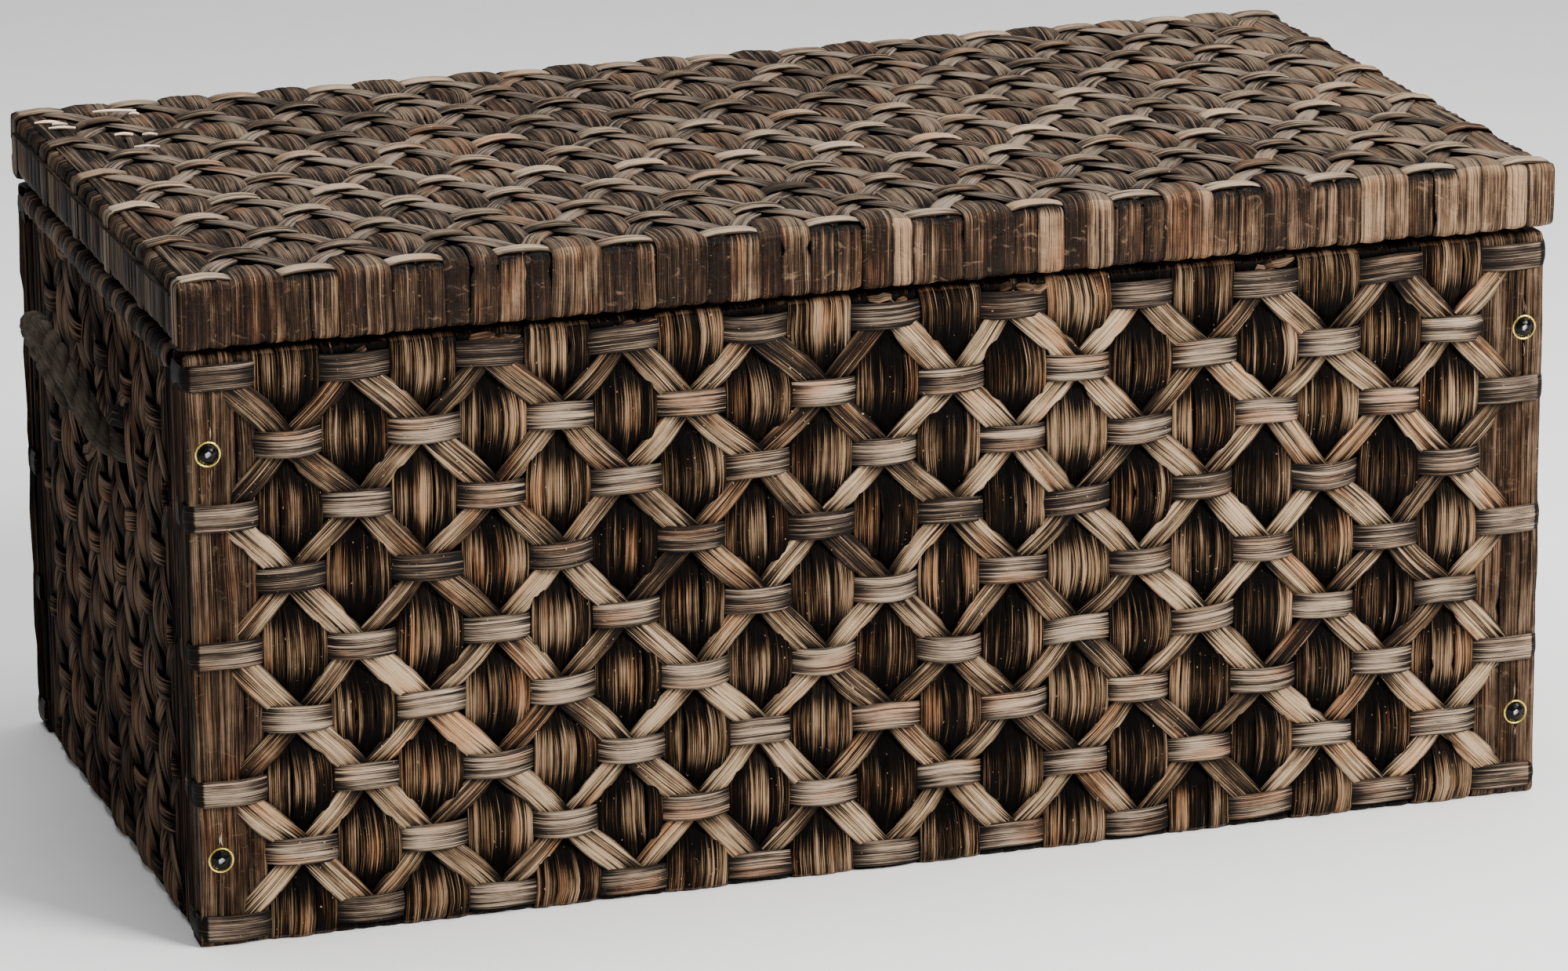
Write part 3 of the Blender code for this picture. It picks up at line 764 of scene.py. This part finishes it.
def wood(name, pale, dark, stretch, size=14.0):
    """Sawn wood with its grain along one world axis."""
    m = Nodes(name)
    scale = tuple(size * (0.06 if axis == stretch else 1.0) for axis in "XYZ")
    at = m.place_at()
    rings = m.noise(m.scaled(at, scale), 3.0, 4.0, 0.6, 1.2)
    pores = m.drawn(at, tuple(30 * s for s in scale), 2.0, 0.5)
    value = m.plus(m.times(rings, 0.75), m.times(pores, 0.25))
    colour = m.ramp(value, [(0.32, dark), (0.62, pale)])
    roughness, normal = m.ramp(pores, [(0.3, 0.52), (0.7, 0.70)]), m.bump(value, 0.3 * MM, 0.5)
    return m.finish(Base_Color=colour, Roughness=roughness, Normal=normal, Specular_IOR_Level=0.2)


def metal(name, colour, rough, scratch=0.15, metallic=1.0, shine=0.5):
    """Metal or, when not metallic, smooth paint or rubber, with fine marks and faint blotches."""
    m = Nodes(name)
    at = m.place_at()
    marks = m.drawn(at, (900, 900, 140), 3.0, 0.7)
    blotch = m.ramp(m.noise(at, 160.0, 3.0), [(0.35, 0.0), (0.7, 1.0)])
    tint = m.mix(blotch, tuple(0.55 * c for c in colour), colour)
    roughness = m.ramp(marks, [(0.35, rough), (0.7, min(1.0, rough + scratch))])
    normal = m.bump(marks, 0.05 * MM, 0.35)
    return m.finish(Base_Color=tint, Roughness=roughness, Normal=normal, Metallic=metallic,
                    Specular_IOR_Level=shine)


FRONT_STAKE = leaf(
    "stake_leaf", (0.004, 0.0024, 0.0014), (0.021, 0.0112, 0.0056), (0.082, 0.047, 0.0240),
    (0.30, 0.194, 0.112), stain_and_shade=0.66, rough=0.5, shine=0.03, vary=0.40, deep=0.14,
)
FRONT_DIAGONAL = leaf(
    "diagonal_leaf", (0.007, 0.004, 0.0022), (0.050, 0.0285, 0.0155), (0.150, 0.095, 0.051),
    (0.43, 0.308, 0.190), stain_and_shade=0.41, vary=0.38, deep=0.03,
)
FRONT_BAND = leaf(
    "band_leaf", (0.012, 0.008, 0.0055), (0.062, 0.041, 0.0275), (0.136, 0.098, 0.069),
    (0.38, 0.284, 0.198), stain_and_shade=0.50, vary=0.36, deep=0.045,
)
FRONT_EDGE = leaf(
    "edge_leaf", (0.0075, 0.0040, 0.0023), (0.023, 0.0122, 0.0066), (0.056, 0.032, 0.0175),
    (0.20, 0.132, 0.082), stain_and_shade=0.38, rough=0.32, shine=0.04, vary=0.16, dents=0.8, deep=0.03,
    streaks=0.7,
)
RIM = leaf(
    "rim_leaf", (0.0095, 0.0048, 0.0025), (0.030, 0.0152, 0.0076), (0.080, 0.0440, 0.0230),
    (0.32, 0.205, 0.122), stain_and_shade=0.26, rough=0.30, shine=0.08, vary=0.42, dents=2.0, deep=-0.02,
    streaks=0.70,
)
SIDE_RIM = leaf(
    "side_rim_leaf", (0.004, 0.0026, 0.0016), (0.018, 0.011, 0.0068), (0.050, 0.032, 0.020),
    (0.13, 0.09, 0.058), stain_and_shade=0.34, shine=0.05, vary=0.45,
)
TOP_STAKE = leaf(
    "top_stake_leaf", (0.005, 0.0035, 0.0025), (0.028, 0.0185, 0.012), (0.076, 0.053, 0.036),
    (0.175, 0.126, 0.086), stain_and_shade=0.34, rough=0.6, deep=0.02,
)
TOP_DIAGONAL = leaf(
    "top_diagonal_leaf", (0.006, 0.005, 0.004), (0.038, 0.0285, 0.0215), (0.102, 0.078, 0.058),
    (0.22, 0.172, 0.128), stain_and_shade=0.28,
)
TOP_BAND = leaf(
    "top_band_leaf", (0.011, 0.0072, 0.0048), (0.062, 0.043, 0.028), (0.165, 0.119, 0.080),
    (0.38, 0.288, 0.20), stain_and_shade=0.28, vary=0.42,
)
# a darker copy of the wall leaf: painted shade on the ends, which face away from the light
SHADED_END_LEAF = leaf(
    "shaded_end_leaf", (0.0012, 0.0008, 0.0005), (0.0095, 0.0053, 0.0034), (0.037, 0.0222, 0.0142),
    (0.150, 0.098, 0.065), stain_and_shade=0.54, shine=0.008,
)
BINDING = leaf(
    "binding_leaf", (0.003, 0.0019, 0.0013), (0.017, 0.0102, 0.0066), (0.056, 0.036, 0.024),
    (0.18, 0.125, 0.086), stain_and_shade=0.34, shine=0.04, vary=0.5,
)
POST_LEAF = leaf(
    "post_leaf", (0.003, 0.003, 0.0035), (0.013, 0.0125, 0.014), (0.036, 0.034, 0.036),
    (0.15, 0.118, 0.09), stain_and_shade=0.36, shine=0.02, dents=0.7,
)
PALE_LEAF = leaf(
    "pale_leaf", (0.12, 0.08, 0.05), (0.26, 0.18, 0.12), (0.42, 0.31, 0.22), (0.6, 0.47, 0.35),
    stain_and_shade=0.12,
)
RAW_LEAF = leaf(
    "raw_leaf", (0.30, 0.20, 0.13), (0.60, 0.44, 0.31), (0.78, 0.62, 0.47), (0.9, 0.76, 0.62),
    stain_and_shade=0.05,
)
ROPE = rope_look()
BARE_X = wood("bare_wood_x", (0.50, 0.35, 0.21), (0.30, 0.185, 0.10), "X")
BARE_Y = wood("bare_wood_y", (0.50, 0.35, 0.21), (0.30, 0.185, 0.10), "Y")
PLYWOOD = wood("plywood", (0.58, 0.43, 0.28), (0.44, 0.30, 0.18), "X", 9.0)
# near-black wood: painted shade for the gaps between the wound strips
SHADOW_CORE = wood("shadow_dark_core", (0.012, 0.008, 0.006), (0.006, 0.004, 0.003), "Z")
# wood darkened as painted shade, for the handle rails seen through the rope holes
SHADED_WOOD = wood("shade_darkened_wood", (0.11, 0.065, 0.036), (0.045, 0.026, 0.015), "Y")
BRASS = metal("brass_ring", (0.90, 0.72, 0.16), 0.22)
BLACK = metal("black_bolt", (0.003, 0.003, 0.0035), 0.10, 0.08, metallic=0.0, shine=0.12)
ZINC = metal("zinc", (0.62, 0.62, 0.60), 0.32)
RUBBER = metal("rubber", (0.03, 0.029, 0.028), 0.7, metallic=0.0)


# The walls and the lid ----------
def trunk_face(name, **details):
    return Face(name=name, body="trunk", v=(0, 0, 1), height=BODY_H, pitch_v=41.2 * MM, rows=9,
                top_row=12.3 * MM, wrap=RAIL, **details)


def broad_face(wall, sign):
    return trunk_face(
        wall, origin=(0, sign * BODY_HALF_D, 0), u=(-sign, 0, 0), n=(0, sign, 0),
        width=2 * BODY_HALF_W, pitch_u=39.9 * MM, columns=20, depth=WALL,
    )


def end_face(side, sign):
    return trunk_face(
        side, origin=(sign * END_X, 0, 0), u=(0, sign, 0), n=(sign, 0, 0), width=2 * END_HALF_Y,
        pitch_u=34.4 * MM, columns=10, depth=END_WALL, relief=3.8 * MM,
        holes=((-HOLE_Y, HOLE_Z), (HOLE_Y, HOLE_Z)),
    )


def lid_face():
    return Face(
        name="lid", body="lid", origin=(0, -LID_HALF_D, LID_TOP), u=(1, 0, 0), v=(0, 1, 0),
        n=(0, 0, 1), width=2 * LID_HALF_W, height=2 * LID_HALF_D, pitch_u=31.3 * MM,
        pitch_v=43.0 * MM, columns=26, rows=11, top_row=12.5 * MM, depth=LID_TOP - LID_BOTTOM,
        wrap=LID_RAIL, relief=3.1 * MM, fade=1.0, inset=7 * MM, wrap_stand=0.5 * MM,
    )


def woven(face, looks, widths, halves, wrap_sides=True):
    """A whole woven face, as four pieces: stakes, two sets of diagonals and bands.

    The looks are those of the stakes, diagonals, bands and the stakes' way round the edges.
    Widths are the limits of a stake's width, and halves the half widths of the other three.
    """
    stake, down, up, level = Strips(), Strips(), Strips(), Strips()
    stakes(face, stake, *widths)
    diagonals(face, down, 1, halves[0], 1.3 * MM)
    diagonals(face, up, -1, halves[1], 0.2 * MM)
    bands(face, level, halves[2], wrap_sides)
    name, body, slot = face.name, face.body, "woven_leaf"
    stake.place(f"{name}_stakes", looks[0], body, slot, (f"{name}_weave",), looks[3])
    down.place(f"{name}_falling_diagonals", looks[1], body, slot)
    up.place(f"{name}_rising_diagonals", looks[1], body, slot)
    level.place(f"{name}_bands", looks[2], body, slot)


def box_mesh(name, low, high, bevel):
    mesh = bpy.data.meshes.new(name)
    shape = bmesh.new()
    bmesh.ops.create_cube(shape, size=1.0)
    low, high = Vector(low), Vector(high)
    bmesh.ops.scale(shape, vec=high - low, verts=shape.verts)
    bmesh.ops.translate(shape, vec=(low + high) / 2, verts=shape.verts)
    bmesh.ops.bevel(shape, geom=shape.edges, offset=bevel, segments=2, affect="EDGES")
    shape.to_mesh(mesh)
    shape.free()
    return mesh


def cores(nodes, body, inset=5.2 * MM):
    """The wooden bars inside, near black as painted shade, that show in the gaps between the strips
    wound round them.
    """
    for node in nodes:
        low, high = corners(node)
        mesh = box_mesh(f"{node}_core", low + inset, high - inset, 1 * MM)
        place(f"{node}_core", mesh, SHADOW_CORE, body, "leaf_wrapped_rail", (node,))


def weave():
    """The five woven faces and the rails inside them."""
    for wall, sign in WALLS.items():
        looks = (FRONT_STAKE, FRONT_DIAGONAL, FRONT_BAND, FRONT_EDGE)
        halves = (8.3 * MM, 6.8 * MM, 7.8 * MM)
        woven(broad_face(wall, sign), looks, (10 * MM, 15 * MM), halves)
        bars = ("bottom_rail", "top_rail", "left_post", "right_post")
        cores([f"{wall}_{bar}" for bar in bars], "trunk")
    for side, sign in SIDES.items():
        halves = (6.8 * MM, 6.2 * MM, 6.6 * MM)
        woven(end_face(side, sign), [SHADED_END_LEAF] * 4, (9 * MM, 13 * MM), halves, wrap_sides=False)
        bars = ("bottom_rail", "top_rail", "front_end_post", "back_end_post")
        cores([f"{side}_{bar}" for bar in bars], "trunk", 4.2 * MM)
    looks, halves = (TOP_STAKE, TOP_DIAGONAL, TOP_BAND, RIM), (6.6 * MM, 6.2 * MM, 7.0 * MM)
    woven(lid_face(), looks, (11 * MM, 20 * MM), halves)
    cores([f"lid_{bar}_rail" for bar in ("front", "back", "left", "right")], "lid")


def wound_sides(name, half_w, half_d, top, line, least, most, look, body, slope=0.0):
    """Strips wound from front to back round a rail on the left and one on the right."""
    for side, sign in SIDES.items():
        strips = Strips()
        ends = [(sign * half_w, way * half_d, top) for way in (-1, 1)]
        wind(strips, *ends, (sign, 0, 0), line, least, most, slope)
        strips.place(name.format(side), look, body, "leaf_wrapped_rail")


def lid_side_rims():
    """The narrow strips wound round the lid's left and right rails."""
    under = LID_BOTTOM - LID_TOP + 0.6 * MM
    outer, inner = -0.6 * MM, -LID_RAIL + 0.6 * MM
    line = round_bar(
        [(-10 * MM, -1.6 * MM), (outer, -0.7 * MM), (outer, under), (inner, under), (inner, -11 * MM)],
        5 * MM,
    )
    wound_sides("lid_{}_rim_strips", LID_HALF_W, LID_HALF_D - 2.5 * MM, LID_TOP, line,
                8 * MM, 15 * MM, SIDE_RIM, "lid")


def post_strips():
    """The upright strips on the side faces of the front and back walls' posts."""
    for wall, sign in WALLS.items():
        strips = Strips()
        for edge_sign in (-1, 1):
            upright_strips(strips, broad_face(wall, sign), edge_sign)
        look = POST_LEAF if wall == "front" else SHADED_END_LEAF
        strips.place(f"{wall}_post_strips", look, "trunk", "leaf_wrapped_rail")


def end_bindings():
    """The strips wound at a slant round the top rail of each end, which stand out past the weave."""
    above, below, outer = 1.0 * MM, -13 * MM, 5.6 * MM
    line = round_bar([(-9 * MM, above), (outer, above), (outer, below), (-3 * MM, below)], 5 * MM)
    wound_sides("{}_top_binding", END_X, END_HALF_Y - 2 * MM, BODY_H, line,
                9 * MM, 15 * MM, BINDING, "trunk", slope=0.45)


def backing(face, look):
    """Plain upright strips behind the weave, each lapping over the next, which close its gaps."""
    strips = Strips()
    margin = face.wrap - 6 * MM
    v = np.linspace(margin, face.height - margin, int(face.height / (2 * STEP)))
    one, none = np.ones(v.size), np.zeros(v.size)
    side, normal = face.turn(one, none, none), face.turn(none, none, one)
    for k in range(face.columns + 1):
        depth = (9.0 + 1.5 * (k % 2)) * MM
        points = face.world(face.column_u(k) * one, v, -depth * one)
        strips.add(points, side, normal, 0.58 * face.pitch_u, 0.7, crown=0.6 * MM, thick=1 * MM)
    strips.place(f"{face.name}_backing_strips", look, face.body, "woven_leaf")


def backings():
    for wall, sign in WALLS.items():
        backing(broad_face(wall, sign), TOP_STAKE)
    for side, sign in SIDES.items():
        backing(end_face(side, sign), SHADED_END_LEAF)
    backing(lid_face(), TOP_STAKE)


# The rope handles ----------
def resample(points, step):
    """Points at an even distance on a smooth curve through the given ones."""
    rounds = np.concatenate([[points[0]], points, [points[-1]]])
    fine = []
    for i in range(1, len(rounds) - 2):
        p0, p1, p2, p3 = rounds[i - 1 : i + 3]
        for t in np.linspace(0, 1, 9)[:-1]:
            square, cube = 2 * p0 - 5 * p1 + 4 * p2 - p3, 3 * p1 - p0 - 3 * p2 + p3
            fine.append(0.5 * (2 * p1 + (p2 - p0) * t + square * t**2 + cube * t**3))
    fine = np.array(fine + [points[-1]])
    length = along(fine)
    places = np.linspace(0, length[-1], max(4, int(length[-1] / step)))
    return np.stack([np.interp(places, length, fine[:, i]) for i in range(3)], 1)


def rope_route(sign, hole_y, pivot, rope_r):
    """A handle's middle line, from inside one hole, round the loop, to inside the other."""
    pivot_x, pivot_z = abs(pivot[0]), pivot[2]
    bend = 2.05 * 2 * rope_r
    turn_x = pivot_x - bend * math.tan(ROPE_TILT / 2)
    inner = END_X - END_WALL - 1 * MM
    leg = [(x, -hole_y, pivot_z) for x in np.linspace(inner, turn_x, 6)[:-1]]
    for i in range(9):
        a = ROPE_TILT * i / 8
        leg.append((turn_x + bend * math.sin(a), -hole_y, pivot_z + bend * (1 - math.cos(a))))
    arc = [(ROPE_LEG, -hole_y)]
    for i in range(1, 15):
        a = -math.pi / 2 * (1 - i / 14)
        arc.append((ROPE_LEG + hole_y * math.cos(a), hole_y * math.sin(a)))
    for out, y in arc:
        leg.append((pivot_x + out * math.cos(ROPE_TILT), y, pivot_z + out * math.sin(ROPE_TILT)))
    half = np.array(leg)
    route = np.concatenate([half, half[:-1][::-1] * (1, -1, 1)])
    route[:, 0] *= sign
    return resample(route, 2.2 * MM)


def rope_handles():
    for side, sign in SIDES.items():
        joint = next(j for j in frame["joints"] if j["child"] == f"{side}_handle")
        pivot = joint["pos_m"]
        low, high = corners(f"{side}_rope_front_knot")
        hole_y = abs(low[1] + high[1]) / 2
        loop_low, loop_high = corners(f"{side}_rope_loop")
        rope_r = (loop_high[1] - loop_low[1]) / 2 - hole_y
        route = rope_route(sign, hole_y, pivot, rope_r)
        mesh = rope_mesh(f"{side}_rope_handle", [(route, rope_r, ROPE_LAY)])
        mesh.materials.append(ROPE)
        rope = new_object(f"{side}_rope_handle", mesh)
        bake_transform(rope)
        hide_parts(f"{side}_rope_loop")
        for wall, front in WALLS.items():
            rope_knot(side, wall, sign, front * hole_y, pivot[2], rope_r)


def rope_knot(side, wall, sign, y, z, rope_r, turns=2.6, count=70):
    """A stopper knot as a coil round the rope's end, with the rope that comes through the hole."""
    node = f"{side}_rope_{wall}_knot"
    low, high = corners(node)
    inner_x, wall_x = min(abs(low[0]), abs(high[0])), END_X - END_WALL
    core = [(sign * x, y, z) for x in np.linspace(wall_x + 1 * MM, inner_x, 24)]
    coil_r = (high[2] - low[2]) / 2 - 6.2 * MM
    angle = np.linspace(0, turns * 2 * math.pi, count)
    coil_x = np.linspace(wall_x - 6.6 * MM, wall_x - 30 * MM, count)
    coil = np.stack([sign * coil_x, y + coil_r * np.cos(angle), z + coil_r * np.sin(angle)], 1)
    name = f"{side}_{wall}_knot"
    runs = [(core, rope_r * 0.95, ROPE_LAY), (coil, 6.0 * MM, 26 * MM)]
    place(name, rope_mesh(name, runs), ROPE, "trunk", "rope", (node,))


# Small things ----------
def torn_tips():
    """Torn leaf tips above the walls' top bands."""
    t = np.linspace(0, 1, 6)
    one, none = np.ones(t.size), np.zeros(t.size)
    for wall, sign in WALLS.items():
        face = broad_face(wall, sign)
        face.stray[:] = 0
        side, normal = face.turn(none, one, -0.5 * one), face.turn(none, 0.4 * one, one)
        half = (0.6 + 2.2 * np.sin(math.pi * np.clip(t * 0.9 + 0.08, 0, 1))) * MM
        strips = Strips()
        for k in range(2, face.columns, 2):
            if RNG.random() < 0.25:
                continue
            for _ in range(RNG.integers(1, 4)):
                start = face.column_u(k) + RNG.uniform(-14, 8) * MM
                reach = RNG.uniform(9, 20) * MM
                level = face.height - 3.6 * MM + RNG.uniform(-1.5, 1.2) * MM
                v = level + wobble(t * reach, 1.5 * MM, 0.006)
                n = -1.0 * MM + 2.4 * MM * np.sin(math.pi * t) + RNG.uniform(-0.5, 0.8) * MM
                points = face.world(start + t * reach, v, n)
                strips.add(points, side, normal, half, 0.9, crown=0.6 * MM, thick=0.8 * MM)
        strips.place(f"{wall}_torn_tips", FRONT_EDGE, "trunk", "woven_leaf")


def raw_chips():
    """Pale places near the lid's back left corner, where the leaf has chipped.

    Each has its distances in mm from the left and back edges, its length and width, and its height.
    """
    strips = Strips()
    corner = np.array([-LID_HALF_W, LID_HALF_D, LID_TOP])
    t = np.linspace(0, 1, 6)
    side = np.broadcast_to(unit(np.array([0.25, 1.0, 0.0])), (t.size, 3))
    normal = np.broadcast_to((0.0, 0.0, 1.0), (t.size, 3))
    for inward, back, reach, wide, raised in (
        (44, 39, 26, 4.5, 5.2), (7, 40, 15, 5.0, 1.4), (12, 58, 16, 4.5, 1.6), (16, 50, 9, 3.5, 1.8),
        (44, 100, 11, 3.5, 4.3), (60, 106, 9, 3.0, 4.5), (48, 136, 15, 2.5, 4.6), (64, 52, 6, 2.2, 5.0),
    ):
        height = np.full(t.size, raised * MM) + 0.8 * MM * np.sin(math.pi * t)
        path = corner + np.stack(
            [(inward + reach * t) * MM, (-back - 0.25 * reach * t) * MM, height], 1
        )
        half = wide / 2 * MM * (0.25 + np.sin(math.pi * np.clip(t * 0.85 + 0.08, 0, 1)))
        strips.add(path, side, normal, half, 1.0, crown=0.5 * MM, thick=0.6 * MM)
    strips.place("lid_raw_chips", RAW_LEAF, "lid", "woven_leaf")


def bolt_scuffs():
    """Pale scratches in the leaf above and below the front bolts' washers."""
    strips = Strips()
    t = np.linspace(0, 1, 6)
    y = np.full(t.size, -BODY_HALF_D - 1.3 * MM)
    across = np.broadcast_to((1.0, 0.0, 0.0), (t.size, 3))
    outward = np.broadcast_to((0.0, -1.0, 0.0), (t.size, 3))
    washers = [f"front_{side}_{level}_cup_washer" for side in SIDES for level in ("lower", "upper")]
    for washer in washers:
        low, high = corners(washer)
        middle, radius = (low + high) / 2, (high[2] - low[2]) / 2
        for way in (-1, -1, 1, 1):
            start, reach = radius + RNG.uniform(0.3, 2) * MM, RNG.uniform(4, 11) * MM
            x = middle[0] + RNG.uniform(-2, 2) * MM + wobble(t * reach, 0.5 * MM, 0.006)
            path = np.stack([x, y, middle[2] + way * (start + t * reach)], 1)
            half = RNG.uniform(0.15, 0.4) * MM * (0.2 + np.sin(math.pi * t))
            strips.add(path, across, outward, half, 1.0, crown=0.3 * MM, thick=0.5 * MM)
    strips.place("front_bolt_scuffs", PALE_LEAF, "trunk", "leaf_wrapped_rail")


def paint_socket_highlight(node):
    """Gives the floor of a bolt's socket a pale metal look: a painted highlight for the bright dot in
    the middle of the black bolt head.
    """
    low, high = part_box(node.name)
    middle = (Vector(low) + Vector(high)) / 2
    node.data.materials.append(ZINC)
    for polygon in node.data.polygons:
        at = node.matrix_world @ polygon.center - middle
        if math.hypot(at.x, at.z) < 1.6 * MM and abs(polygon.normal.y) > 0.9:
            polygon.material_index = 1


def plain_looks():
    """The looks of the CAD nodes that show as they are, by the part of the name that tells them."""
    looks = {
        "floor_ledge": BARE_X, "cross_rail": BARE_Y, "handle_rail": SHADED_WOOD, "floor_board": PLYWOOD,
        "cup_washer": BRASS, "bolt": BLACK, "hinge": ZINC, "bumper": RUBBER,
    }
    for name, node in frame["nodes"].items():
        look = next((look for part, look in looks.items() if part in name), None)
        if look:
            node.data.materials.clear()
            node.data.materials.append(look)
        if look is BLACK:
            paint_socket_highlight(node)


# Camera, floor and light ----------
def camera():
    data = bpy.data.cameras.new("camera")
    data.sensor_width = 36.0
    data.lens = 156.7
    data.clip_end = 50.0
    cam = new_object("camera", data)
    azimuth, elevation, roll = (math.radians(a) for a in (-18.03, 16.42, -0.49))
    level = math.cos(elevation)
    back = Vector((math.sin(azimuth) * level, -math.cos(azimuth) * level, math.sin(elevation)))
    right = Vector((0, 0, 1)).cross(back).normalized()
    up = back.cross(right)
    turned_right = right * math.cos(roll) + up * math.sin(roll)
    turned_up = up * math.cos(roll) - right * math.sin(roll)
    rotation = Matrix((turned_right, turned_up, back)).transposed().to_4x4()
    cam.matrix_world = Matrix.Translation((-1.248, -3.862, 1.3725)) @ rotation
    bpy.context.scene.camera = cam


def area_light(name, where, towards, size, power, colour=(1, 1, 1)):
    data = bpy.data.lights.new(name, "AREA")
    data.shape = "RECTANGLE"
    data.size, data.size_y = size
    data.energy = power
    data.color = colour
    turn = (Vector(towards) - Vector(where)).to_track_quat("-Z", "Y").to_matrix().to_4x4()
    new_object(name, data).matrix_world = Matrix.Translation(where) @ turn


def studio():
    world = bpy.data.worlds.new("studio")
    world.use_nodes = True
    sky = world.node_tree.nodes["Background"].inputs
    sky["Color"].default_value = (0.96, 0.96, 0.97, 1)
    sky["Strength"].default_value = 0.31
    bpy.context.scene.world = world
    mesh = box_mesh("floor", (-9, -9, -0.02), (9, 9, 0), 1 * MM)
    floor = new_object("floor", mesh)
    m = Nodes("pale_floor")
    pale = m.ramp(m.noise(m.place_at(), 30.0, 2.0), [(0.3, 0.90), (0.7, 0.92)])
    mesh.materials.append(m.finish(Base_Color=pale, Roughness=0.7))
    area_light("key", (1.9, -2.4, 2.3), (0.1, 0, 0.15), (1.6, 1.2), 285, (1.0, 0.985, 0.965))
    area_light("top", (0.1, 0.3, 2.6), (0, 0, 0.3), (2.4, 1.6), 80)
    area_light("fill", (-2.8, -0.9, 1.0), (0, 0, 0.2), (1.5, 1.5), 3, (0.95, 0.97, 1.0))


weave()
lid_side_rims()
post_strips()
end_bindings()
backings()
rope_handles()
torn_tips()
raw_chips()
bolt_scuffs()
plain_looks()
camera()
studio()
